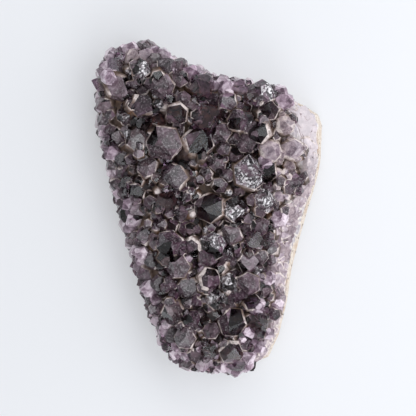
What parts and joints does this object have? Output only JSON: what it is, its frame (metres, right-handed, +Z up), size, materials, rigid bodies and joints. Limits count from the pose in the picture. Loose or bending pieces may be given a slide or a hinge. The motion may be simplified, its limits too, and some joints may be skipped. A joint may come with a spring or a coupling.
{
  "type": "amethyst cluster",
  "caption": "Slab of amethyst druse broken from a geode: a crust of intergrown quartz points, clear smoky purple with pale rims, on the thin stony rind that it rests on.",
  "frame": {"origin": "on the surface that it rests on, under the middle of its bounding box", "axes": "+Z up, the way most points grow; +Y along its length, towards its broad end; +X towards the side where the slab broke and its wall is bare"},
  "size_m": [0.1036, 0.1507, 0.0393],
  "materials": {
    "amethyst": "glassy quartz, clear smoky purple towards the tips, milky at the rims and roots, glittering where it is etched",
    "rind": "dull, granular and pitted, cream to light brown"
  },
  "bodies": {
    "root": {"rind": "rind", "crystals": "amethyst"}
  },
  "joints": []
}
